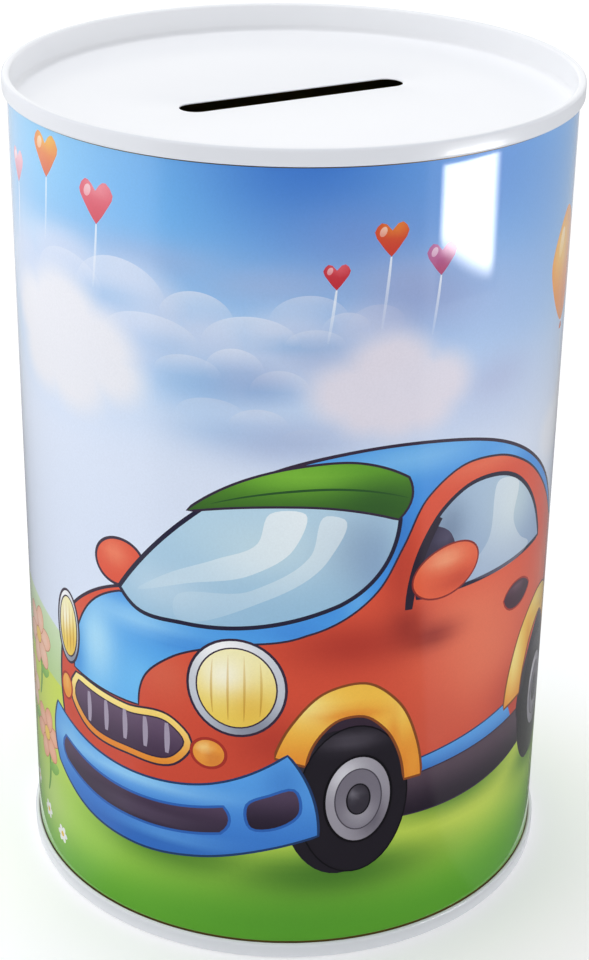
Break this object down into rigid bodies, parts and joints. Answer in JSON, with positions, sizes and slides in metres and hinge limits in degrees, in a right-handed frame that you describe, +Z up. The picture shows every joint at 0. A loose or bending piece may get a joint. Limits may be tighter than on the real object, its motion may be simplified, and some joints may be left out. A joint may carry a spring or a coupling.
{
  "type": "tin money box",
  "caption": "Cylindrical printed tinplate money box with a coin slot in its sunken top and a pull-out plug in its base.",
  "frame": {"origin": "centre of the base, on the plane that the bottom seam stands on", "axes": "+Z up along the tin's axis, the coin slot along X; the artwork's middle faces (-0.49, -0.87, 0), and the side seam stands at (-0.83, 0.56, 0)"},
  "size_m": [0.1012, 0.1012, 0.153],
  "materials": {
    "printed_tinplate": "gloss varnish over printed artwork",
    "white_enamel": "gloss white enamel",
    "sealing_compound": "dull",
    "soft_plastic": "satin moulded polyethylene"
  },
  "bodies": {
    "tin": {"body_shell": "printed_tinplate", "top_end": "white_enamel", "bottom_end": "white_enamel", "top_seal": "sealing_compound", "bottom_seal": "sealing_compound"},
    "plug": {"base_plug": "soft_plastic"}
  },
  "joints": [
    {"name": "plug_pull", "type": "slide", "parent": "tin", "child": "plug", "axis": [0, 0, -1], "range_m": [0, 0.03]}
  ]
}
